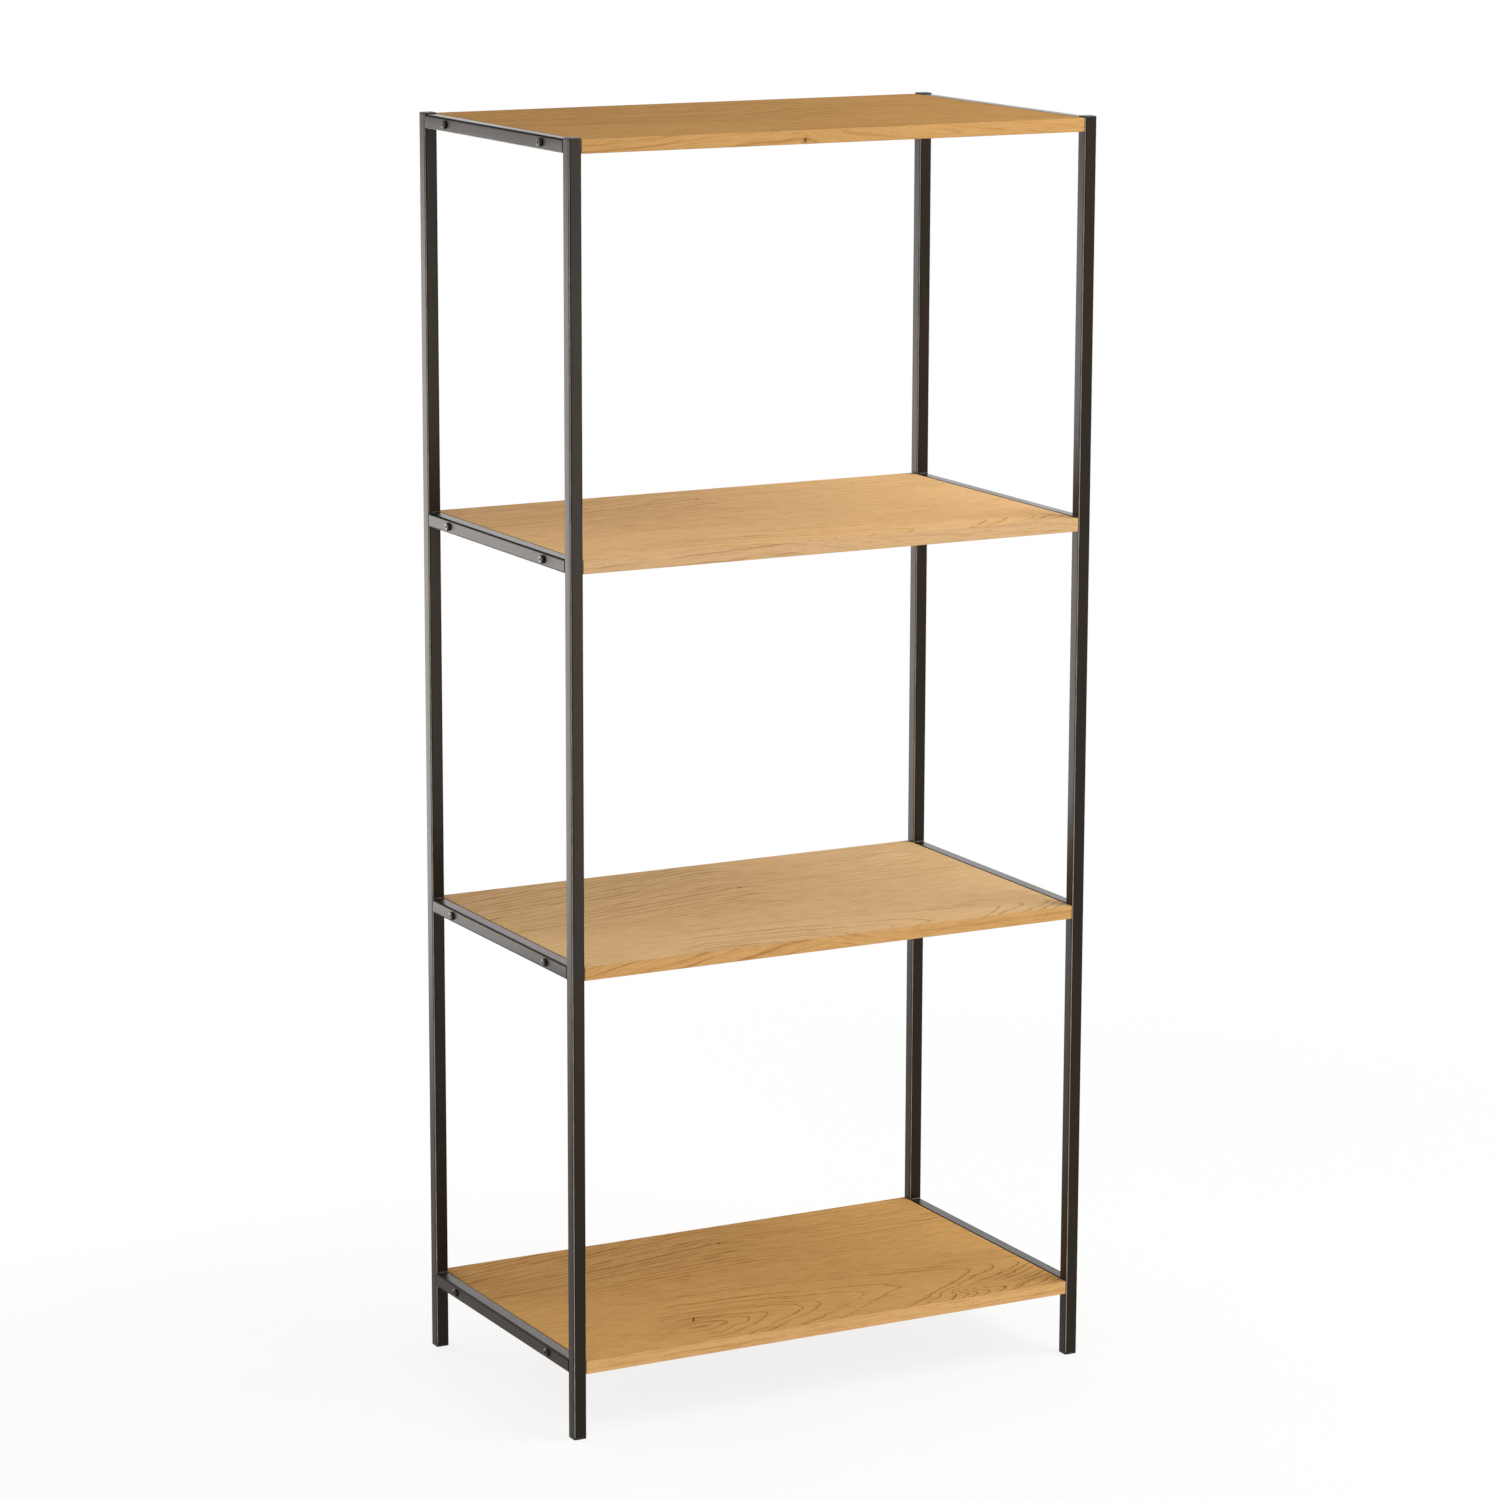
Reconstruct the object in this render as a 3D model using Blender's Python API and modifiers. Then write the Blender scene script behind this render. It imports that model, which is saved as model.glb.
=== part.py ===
"""Four-tier shelf: oak boards screwed between two welded side frames of square steel tube.

Sizes are in metres. +X is to the right, -Y is the front and +Z is up. The origin is on the
floor, in the middle of the shelf's footprint.
"""

import math

import bmesh
import bpy
from mathutils import Matrix

# Whole shelf. The screw heads stand out past the width.
SHELF_WIDTH = 0.635
SHELF_DEPTH = 0.370
SHELF_HEIGHT = 1.400

# Square steel tube of the posts and rails
TUBE_SIDE = 0.015
TUBE_WALL = 0.0015
TUBE_CORNER_RADIUS = 0.0021
WELD_RADIUS = 0.0014

# Oak boards. The bottom board's height is its top face above the floor.
BOARD_THICKNESS = 0.015
BOARD_SETBACK = 0.0008
BOARD_EDGE_RADIUS = 0.0006
BOTTOM_BOARD_HEIGHT = 0.0875

# Button-head screws. The inset is from the shelf's front or back to the screw.
SCREW_INSET = 0.067
SCREW_DIAMETER = 0.005
SCREW_TIP_CHAMFER = 0.0006
THREAD_ENGAGEMENT = 0.0094
HEAD_OVERHANG = 0.00225
HEAD_HEIGHT = 0.00275
HEAD_RIM_HEIGHT = 0.0006
SOCKET_ACROSS_FLATS = 0.003
SOCKET_DEPTH = 0.0018
SOCKET_LAND = 0.0004

# Threaded inserts in the ends of the boards
INSERT_WALL = 0.0012
INSERT_SPARE_LENGTH = 0.0026
INSERT_GROOVE_DEPTH = 0.0004
INSERT_LAND_LENGTH = 0.003

# Plastic plugs that close the posts
CAP_FLANGE = 0.0012
FOOT_FLANGE = 0.0025
PLUG_EDGE_RADIUS = 0.0005
PLUG_STEM_LENGTH = 0.012
PLUG_STEM_WALL = 0.0014
PLUG_RIB_DEPTH = 0.0005
PLUG_RIB_THICKNESS = 0.001

# Gap left between pieces that touch, and between a piece and the hole it sits in
FIT_GAP = 0.0003
# How far a cutter reaches past the face it cuts
CUT_MARGIN = 0.001

# Faceting of the round shapes
CORNER_SEGMENTS = 4
STEM_CORNER_SEGMENTS = 1
EDGE_SEGMENTS = 2
SCREW_STEPS = 14
DOME_SEGMENTS = 3
INSERT_STEPS = 10
HOLE_SEGMENTS = 12

# Heights
TUBE_BOTTOM = FOOT_FLANGE + FIT_GAP
TUBE_TOP = SHELF_HEIGHT - CAP_FLANGE - FIT_GAP
TIERS = ("bottom", "lower", "upper", "top")
TIER_PITCH = (TUBE_TOP - BOTTOM_BOARD_HEIGHT) / (len(TIERS) - 1)
# The screws lie midway down what a rail and its board share.
SCREW_DROP = min(TUBE_SIDE, BOARD_THICKNESS) / 2

# Places of the posts and of the screws in the ground plan
POST_X = (SHELF_WIDTH - TUBE_SIDE) / 2
POST_Y = (SHELF_DEPTH - TUBE_SIDE) / 2
SCREW_Y = SHELF_DEPTH / 2 - SCREW_INSET
SIDES = {"left": -1, "right": 1}
ENDS = {"front": -1, "back": 1}

# Fits
TUBE_BORE = TUBE_SIDE - 2 * TUBE_WALL
TUBE_BORE_RADIUS = max(TUBE_CORNER_RADIUS - TUBE_WALL, 0.0003)
RAIL_LENGTH = SHELF_DEPTH - 2 * TUBE_SIDE - 2 * FIT_GAP
BOARD_LENGTH = SHELF_WIDTH - 2 * TUBE_SIDE - 2 * FIT_GAP
BOARD_DEPTH = SHELF_DEPTH - 2 * BOARD_SETBACK
SCREW_HOLE_DIAMETER = SCREW_DIAMETER + 2 * FIT_GAP
SCREW_LENGTH = TUBE_SIDE + 2 * FIT_GAP + THREAD_ENGAGEMENT
INSERT_LENGTH = THREAD_ENGAGEMENT + INSERT_SPARE_LENGTH
INSERT_DIAMETER = SCREW_HOLE_DIAMETER + 2 * INSERT_WALL
INSERT_BORE_DIAMETER = INSERT_DIAMETER + 2 * FIT_GAP

X_AXIS, Y_AXIS, Z_AXIS = range(3)


def clear_scene():
    """Remove whatever the scene starts with."""
    for obj in list(bpy.data.objects):
        bpy.data.objects.remove(obj, do_unlink=True)


def new_collection(name):
    """Add a collection to the scene."""
    collection = bpy.data.collections.new(name)
    bpy.context.scene.collection.children.link(collection)
    return collection


def new_material(name, colour, roughness, metallic=0.0):
    """Plain finish of one kind of piece."""
    material = bpy.data.materials.new(name)
    material.use_nodes = True
    material.diffuse_color = (*colour, 1.0)
    shader = material.node_tree.nodes["Principled BSDF"]
    shader.inputs["Base Color"].default_value = (*colour, 1.0)
    shader.inputs["Roughness"].default_value = roughness
    shader.inputs["Metallic"].default_value = metallic
    return material


def mesh_from(bm, name):
    """Turn a bmesh into a mesh that is smooth but for its sharp edges."""
    bmesh.ops.recalc_face_normals(bm, faces=bm.faces)
    mesh = bpy.data.meshes.new(name)
    bm.to_mesh(mesh)
    bm.free()
    mesh.shade_smooth()
    mesh.set_sharp_from_angle(angle=math.radians(35))
    return mesh


def add_box(bm, size, centre=(0, 0, 0)):
    """Add a box to a bmesh and return its edges."""
    matrix = Matrix.Translation(centre) @ Matrix.Diagonal((*size, 1.0))
    made = bmesh.ops.create_cube(bm, size=1.0, matrix=matrix)
    return list({edge for vert in made["verts"] for edge in vert.link_edges})


def edges_along(edges, axis):
    """Those of the edges that run along one axis."""
    chosen = []
    for edge in edges:
        span = edge.verts[1].co - edge.verts[0].co
        if abs(span[axis]) > 0.99 * span.length:
            chosen.append(edge)
    return chosen


def round_edges(bm, edges, radius, segments):
    """Round some edges of a bmesh."""
    bmesh.ops.bevel(bm, geom=edges, offset=radius, segments=segments, profile=0.5, affect="EDGES")


def add_bar(bm, size, axis, radius, segments):
    """Add a box whose long edges are rounded."""
    edges = add_box(bm, size)
    round_edges(bm, edges_along(edges, axis), radius, segments)


def hole_radius(diameter, facets):
    """Radius to the corners of a faceted hole, so that its flats stay clear of the diameter."""
    return diameter / 2 / math.cos(math.pi / facets)


def add_drill(bm, diameter, length, centre):
    """Add the shape of a drilled hole that lies along X."""
    radius = hole_radius(diameter, HOLE_SEGMENTS)
    matrix = Matrix.Translation(centre) @ Matrix.Rotation(math.pi / 2, 4, "Y")
    bmesh.ops.create_cone(
        bm,
        cap_ends=True,
        segments=HOLE_SEGMENTS,
        radius1=radius,
        radius2=radius,
        depth=length,
        matrix=matrix,
    )


def bar_mesh(name, size, axis, radius, segments=CORNER_SEGMENTS):
    """Mesh of one bar with rounded long edges, centred on the origin."""
    bm = bmesh.new()
    add_bar(bm, size, axis, radius, segments)
    return mesh_from(bm, name)


def add_cutter(mesh, cutters):
    """Object that shapes another piece and isn't a piece itself."""
    cutter = bpy.data.objects.new(mesh.name, mesh)
    cutter.display_type = "WIRE"
    cutter.hide_render = True
    cutters.objects.link(cutter)
    return cutter


def shaped_mesh(base, steps, cutters):
    """Mesh of a base shape after joining or cutting it with each step's shape in turn."""
    name = base.name
    body = bpy.data.objects.new(name, base)
    cutters.objects.link(body)
    for operation, mesh in steps:
        modifier = body.modifiers.new(mesh.name, "BOOLEAN")
        modifier.solver = "EXACT"
        modifier.operation = operation
        modifier.object = add_cutter(mesh, cutters)
    bpy.context.view_layer.update()
    graph = bpy.context.evaluated_depsgraph_get()
    shaped = bpy.data.meshes.new_from_object(body.evaluated_get(graph))
    bpy.data.objects.remove(body, do_unlink=True)
    shaped.name = f"{name}_shaped"
    shaped.shade_smooth()
    shaped.set_sharp_from_angle(angle=math.radians(35))
    return shaped


def turned_mesh(name, profile, closed, steps, cutters):
    """Mesh of a profile of (radius, height) points turned about Z."""
    outline = bpy.data.meshes.new(f"{name}_profile")
    edges = [(i, i + 1) for i in range(len(profile) - 1)]
    if closed:
        edges.append((len(profile) - 1, 0))
    outline.from_pydata([(radius, 0.0, height) for radius, height in profile], edges, [])
    body = bpy.data.objects.new(name, outline)
    cutters.objects.link(body)
    turn = body.modifiers.new("Turn", "SCREW")
    turn.steps = steps
    turn.render_steps = steps
    turn.use_merge_vertices = True
    turn.merge_threshold = 0.00001
    bpy.context.view_layer.update()
    graph = bpy.context.evaluated_depsgraph_get()
    turned = bpy.data.meshes.new_from_object(body.evaluated_get(graph))
    bpy.data.objects.remove(body, do_unlink=True)
    turned.name = name
    return turned


def post_mesh(cutters):
    """Post: a length of square tube, open at both ends."""
    length = TUBE_TOP - TUBE_BOTTOM
    bar = bar_mesh("post", (TUBE_SIDE, TUBE_SIDE, length), Z_AXIS, TUBE_CORNER_RADIUS)
    hollow_size = (TUBE_BORE, TUBE_BORE, length + 2 * CUT_MARGIN)
    hollow = bar_mesh("post_hollow", hollow_size, Z_AXIS, TUBE_BORE_RADIUS)
    return shaped_mesh(bar, [("DIFFERENCE", hollow)], cutters)


def weld_mesh(name, faces):
    """Small rounded beads along a rail's ends, on its upper (1) or lower (-1) face."""
    bm = bmesh.new()
    bead_size = (TUBE_SIDE - 2 * TUBE_CORNER_RADIUS, WELD_RADIUS, 2 * WELD_RADIUS)
    for end in ENDS.values():
        for face in faces:
            y = end * (RAIL_LENGTH - WELD_RADIUS) / 2
            edges = add_box(bm, bead_size, (0, y, face * TUBE_SIDE / 2))
            inner = [edge for edge in edges_along(edges, X_AXIS) if end * edge.verts[0].co.y < end * y]
            round_edges(bm, inner, 0.95 * WELD_RADIUS, CORNER_SEGMENTS)
    return mesh_from(bm, name)


def rail_mesh(name, weld_faces, cutters):
    """Rail: square tube along Y, drilled right through for two screws, with its weld beads."""
    bar = bar_mesh(name, (TUBE_SIDE, RAIL_LENGTH, TUBE_SIDE), Y_AXIS, TUBE_CORNER_RADIUS)
    hollow_size = (TUBE_BORE, RAIL_LENGTH + 2 * CUT_MARGIN, TUBE_BORE)
    hollow = bar_mesh(f"{name}_hollow", hollow_size, Y_AXIS, TUBE_BORE_RADIUS)
    drills = bmesh.new()
    for end in ENDS.values():
        centre = (0, end * SCREW_Y, TUBE_SIDE / 2 - SCREW_DROP)
        add_drill(drills, SCREW_HOLE_DIAMETER, TUBE_SIDE + 2 * CUT_MARGIN, centre)
    steps = [
        ("UNION", weld_mesh(f"{name}_welds", weld_faces)),
        ("DIFFERENCE", hollow),
        ("DIFFERENCE", mesh_from(drills, f"{name}_screw_holes")),
    ]
    return shaped_mesh(bar, steps, cutters)


def board_mesh(cutters):
    """Board: a panel with slightly eased edges and two insert bores in each end."""
    bm = bmesh.new()
    edges = add_box(bm, (BOARD_LENGTH, BOARD_DEPTH, BOARD_THICKNESS))
    round_edges(bm, edges, BOARD_EDGE_RADIUS, EDGE_SEGMENTS)
    panel = mesh_from(bm, "board")
    bores = bmesh.new()
    bore_depth = INSERT_LENGTH + FIT_GAP
    for side in SIDES.values():
        for end in ENDS.values():
            x = side * (BOARD_LENGTH / 2 - (bore_depth - CUT_MARGIN) / 2)
            centre = (x, end * SCREW_Y, BOARD_THICKNESS / 2 - SCREW_DROP)
            add_drill(bores, INSERT_BORE_DIAMETER, bore_depth + CUT_MARGIN, centre)
    return shaped_mesh(panel, [("DIFFERENCE", mesh_from(bores, "board_insert_bores"))], cutters)


def screw_mesh(cutters):
    """Button-head screw along Z, with its head's seat at the origin and its shank below."""
    shank = SCREW_DIAMETER / 2
    head = shank + HEAD_OVERHANG
    socket = SOCKET_ACROSS_FLATS / math.sqrt(3)
    flat = socket + SOCKET_LAND
    profile = [(0.0, HEAD_HEIGHT)]
    for i in range(DOME_SEGMENTS + 1):
        angle = i / DOME_SEGMENTS * math.pi / 2
        radius = flat + (head - flat) * math.sin(angle)
        height = HEAD_RIM_HEIGHT + (HEAD_HEIGHT - HEAD_RIM_HEIGHT) * math.cos(angle)
        profile.append((radius, height))
    profile += [
        (head, 0.0),
        (shank, 0.0),
        (shank, SCREW_TIP_CHAMFER - SCREW_LENGTH),
        (shank - SCREW_TIP_CHAMFER, -SCREW_LENGTH),
        (0.0, -SCREW_LENGTH),
    ]
    turned = turned_mesh("screw", profile, False, SCREW_STEPS, cutters)
    bm = bmesh.new()
    depth = SOCKET_DEPTH + CUT_MARGIN
    matrix = Matrix.Translation((0, 0, HEAD_HEIGHT - SOCKET_DEPTH + depth / 2))
    bmesh.ops.create_cone(
        bm, cap_ends=True, segments=6, radius1=socket, radius2=socket, depth=depth, matrix=matrix
    )
    return shaped_mesh(turned, [("DIFFERENCE", mesh_from(bm, "screw_socket"))], cutters)


def insert_mesh(cutters):
    """Threaded insert along Z, with its mouth at the origin and its body below."""
    bore = hole_radius(SCREW_HOLE_DIAMETER, INSERT_STEPS)
    outside = INSERT_DIAMETER / 2
    groove = outside - INSERT_GROOVE_DEPTH
    profile = [
        (outside, 0.0),
        (outside, -INSERT_LAND_LENGTH),
        (groove, -INSERT_LAND_LENGTH - INSERT_GROOVE_DEPTH),
        (groove, INSERT_LAND_LENGTH + INSERT_GROOVE_DEPTH - INSERT_LENGTH),
        (outside, INSERT_LAND_LENGTH - INSERT_LENGTH),
        (outside, -INSERT_LENGTH),
        (bore, -INSERT_LENGTH),
        (bore, 0.0),
    ]
    turned = turned_mesh("insert", profile, True, INSERT_STEPS, cutters)
    turned.shade_smooth()
    turned.set_sharp_from_angle(angle=math.radians(35))
    return turned


def plug_mesh(name, flange, cutters):
    """Plug with its flange above the origin and its ribbed, hollow stem in the tube below."""
    bm = bmesh.new()
    edges = add_box(bm, (TUBE_SIDE, TUBE_SIDE, flange), (0, 0, flange / 2))
    round_edges(bm, edges_along(edges, Z_AXIS), TUBE_CORNER_RADIUS, CORNER_SEGMENTS)
    rim = [edge for edge in bm.edges if min(vert.co.z for vert in edge.verts) > 0.9 * flange]
    round_edges(bm, rim, PLUG_EDGE_RADIUS, EDGE_SEGMENTS)
    head = mesh_from(bm, name)

    rib_side = TUBE_BORE - 2 * FIT_GAP
    stem_side = rib_side - 2 * PLUG_RIB_DEPTH
    hollow_side = stem_side - 2 * PLUG_STEM_WALL
    overlap = flange / 2
    stem = bmesh.new()
    stem_height = PLUG_STEM_LENGTH + overlap
    edges = add_box(stem, (stem_side, stem_side, stem_height), (0, 0, overlap - stem_height / 2))
    round_edges(stem, edges_along(edges, Z_AXIS), TUBE_BORE_RADIUS, STEM_CORNER_SEGMENTS)

    ribs = bmesh.new()
    for share in (1 / 3, 2 / 3):
        centre = (0, 0, -share * PLUG_STEM_LENGTH)
        edges = add_box(ribs, (rib_side, rib_side, PLUG_RIB_THICKNESS), centre)
        round_edges(ribs, edges_along(edges, Z_AXIS), TUBE_BORE_RADIUS, STEM_CORNER_SEGMENTS)

    hollow = bmesh.new()
    hollow_height = PLUG_STEM_LENGTH + CUT_MARGIN
    add_box(hollow, (hollow_side, hollow_side, hollow_height), (0, 0, -hollow_height / 2))
    steps = [
        ("UNION", mesh_from(stem, f"{name}_stem")),
        ("UNION", mesh_from(ribs, f"{name}_ribs")),
        ("DIFFERENCE", mesh_from(hollow, f"{name}_hollow")),
    ]
    return shaped_mesh(head, steps, cutters)


def add_empty(name, location, parts):
    """Empty that carries a group of pieces."""
    empty = bpy.data.objects.new(name, None)
    empty.empty_display_size = 0.05
    empty.location = location
    parts.objects.link(empty)
    return empty


def add_piece(name, mesh, material, location, parts, parent=None, rotation=(0, 0, 0)):
    """Object for one physical piece."""
    piece = bpy.data.objects.new(name, mesh)
    if not mesh.materials:
        mesh.materials.append(material)
    piece.location = location
    piece.rotation_euler = rotation
    piece.parent = parent
    parts.objects.link(piece)
    return piece


def add_side_frame(side, meshes, coat, plastic, parts):
    """One welded ladder of two posts and a rail for each tier, with the posts' plugs."""
    frame = add_empty(f"{side}_frame", (SIDES[side] * POST_X, 0, 0), parts)
    post_z = (TUBE_BOTTOM + TUBE_TOP) / 2
    for end, sign in ENDS.items():
        y = sign * POST_Y
        add_piece(f"post_{end}_{side}", meshes["post"], coat, (0, y, post_z), parts, frame)
        cap_place = (0, y, TUBE_TOP + FIT_GAP)
        add_piece(f"top_plug_{end}_{side}", meshes["top_plug"], plastic, cap_place, parts, frame)
        foot_place = (0, y, TUBE_BOTTOM - FIT_GAP)
        turned_over = (math.pi, 0, 0)
        add_piece(
            f"foot_plug_{end}_{side}", meshes["foot_plug"], plastic, foot_place, parts, frame, turned_over
        )
    for number, tier in enumerate(TIERS):
        mesh = meshes["top_rail"] if tier == TIERS[-1] else meshes["rail"]
        place = (0, 0, tier_height(number) - TUBE_SIDE / 2)
        add_piece(f"rail_{tier}_{side}", mesh, coat, place, parts, frame)


def tier_height(number):
    """Height of a tier's top face above the floor, counted from the bottom."""
    return BOTTOM_BOARD_HEIGHT + number * TIER_PITCH


def add_board_fixings(tier, height, meshes, steel, zinc, parts):
    """Screws through the rails and inserts in the board's ends."""
    for side, sign in SIDES.items():
        # A quarter turn about Y lays each fixing's own +Z along the way out of the shelf.
        outward = (0, sign * math.pi / 2, 0)
        for end, way in ENDS.items():
            y = way * SCREW_Y
            z = height - SCREW_DROP
            seat = (sign * (SHELF_WIDTH / 2 + FIT_GAP), y, z)
            add_piece(f"screw_{tier}_{end}_{side}", meshes["screw"], steel, seat, parts, None, outward)
            mouth = (sign * BOARD_LENGTH / 2, y, z)
            add_piece(f"insert_{tier}_{end}_{side}", meshes["insert"], zinc, mouth, parts, None, outward)


def main():
    """Build the shelf."""
    clear_scene()
    parts = new_collection("Shelf")
    cutters = new_collection("Cutters")
    coat = new_material("brown_black_powder_coat", (0.035, 0.031, 0.028), 0.45)
    oak = new_material("oiled_oak_veneer", (0.50, 0.31, 0.15), 0.5)
    plastic = new_material("black_plastic", (0.015, 0.015, 0.015), 0.5)
    steel = new_material("blackened_steel", (0.03, 0.03, 0.03), 0.4, 0.8)
    zinc = new_material("zinc_plated_steel", (0.60, 0.58, 0.52), 0.35, 1.0)
    meshes = {
        "post": post_mesh(cutters),
        "rail": rail_mesh("rail", (1, -1), cutters),
        "top_rail": rail_mesh("top_rail", (-1,), cutters),
        "board": board_mesh(cutters),
        "screw": screw_mesh(cutters),
        "insert": insert_mesh(cutters),
        "top_plug": plug_mesh("top_plug", CAP_FLANGE, cutters),
        "foot_plug": plug_mesh("foot_plug", FOOT_FLANGE, cutters),
    }
    for side in SIDES:
        add_side_frame(side, meshes, coat, plastic, parts)
    for number, tier in enumerate(TIERS):
        height = tier_height(number)
        place = (0, 0, height - BOARD_THICKNESS / 2)
        add_piece(f"board_{tier}", meshes["board"], oak, place, parts)
        add_board_fixings(tier, height, meshes, steel, zinc, parts)


main()
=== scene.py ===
"""Looks of the four-tier shelf: wood grain, coatings, fasteners, weld beads, light and camera."""

import math

import bmesh
import bpy
from mathutils import Matrix, Vector


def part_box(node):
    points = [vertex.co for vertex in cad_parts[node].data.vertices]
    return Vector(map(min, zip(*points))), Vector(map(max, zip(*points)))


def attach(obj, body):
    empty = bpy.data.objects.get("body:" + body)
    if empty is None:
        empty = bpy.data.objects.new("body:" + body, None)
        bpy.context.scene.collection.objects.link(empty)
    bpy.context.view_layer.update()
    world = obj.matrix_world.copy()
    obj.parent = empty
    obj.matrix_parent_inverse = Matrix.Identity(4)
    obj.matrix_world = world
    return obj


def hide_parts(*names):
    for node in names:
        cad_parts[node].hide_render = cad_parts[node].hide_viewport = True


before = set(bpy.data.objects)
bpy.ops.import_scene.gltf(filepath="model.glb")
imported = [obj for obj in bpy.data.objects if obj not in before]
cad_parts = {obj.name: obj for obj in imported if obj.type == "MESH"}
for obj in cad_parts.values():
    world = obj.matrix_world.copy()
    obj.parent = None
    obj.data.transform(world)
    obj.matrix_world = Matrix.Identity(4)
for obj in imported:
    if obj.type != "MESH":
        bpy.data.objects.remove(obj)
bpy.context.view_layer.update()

MM = 0.001
MM_PER_METRE = 1000
TIERS = ("bottom", "lower", "upper", "top")
ENDS = ("front", "back")
SIDES = ("left", "right")


# Camera: the photograph's place and angle, without lens shift. Angles are in radians.
CAMERA_PLACE = (-2.5963, -4.8493, 1.8508)
CAMERA_YAW = 0.49051
CAMERA_PITCH = 0.20687
CAMERA_ROLL = 0.00289
CAMERA_LENS_MM = 121.42
SENSOR_MM = 36.0
CAMERA_REACH = 200.0


def make_camera():
    """Place the camera and make it the scene's."""
    ahead = Vector((
        math.sin(CAMERA_YAW) * math.cos(CAMERA_PITCH),
        math.cos(CAMERA_YAW) * math.cos(CAMERA_PITCH),
        -math.sin(CAMERA_PITCH),
    ))
    level = Vector((math.cos(CAMERA_YAW), -math.sin(CAMERA_YAW), 0))
    upright = level.cross(ahead)
    right = level * math.cos(CAMERA_ROLL) + upright * math.sin(CAMERA_ROLL)
    up = upright * math.cos(CAMERA_ROLL) - level * math.sin(CAMERA_ROLL)
    data = bpy.data.cameras.new("camera")
    data.lens = CAMERA_LENS_MM
    data.sensor_width = SENSOR_MM
    data.clip_end = CAMERA_REACH
    camera = bpy.data.objects.new("camera", data)
    turn = Matrix((right, up, -ahead)).transposed().to_4x4()
    camera.matrix_world = Matrix.Translation(CAMERA_PLACE) @ turn
    bpy.context.scene.collection.objects.link(camera)
    bpy.context.scene.camera = camera


# Node graphs: a formula on sockets is written as a formula on these values.
class Value:
    """One number socket of a graph, which adds a Math node for each step of a formula."""

    def __init__(self, graph, socket):
        self.graph = graph
        self.socket = socket

    def __add__(self, other):
        return self.graph.math("ADD", self, other)

    def __sub__(self, other):
        return self.graph.math("SUBTRACT", self, other)

    def __rsub__(self, other):
        return self.graph.math("SUBTRACT", other, self)

    def __mul__(self, other):
        return self.graph.math("MULTIPLY", self, other)

    def __truediv__(self, other):
        return self.graph.math("DIVIDE", self, other)

    def __rtruediv__(self, other):
        return self.graph.math("DIVIDE", other, self)

    def __pow__(self, other):
        return self.graph.math("POWER", self, other)

    def __abs__(self):
        return self.graph.math("ABSOLUTE", self)


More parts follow.
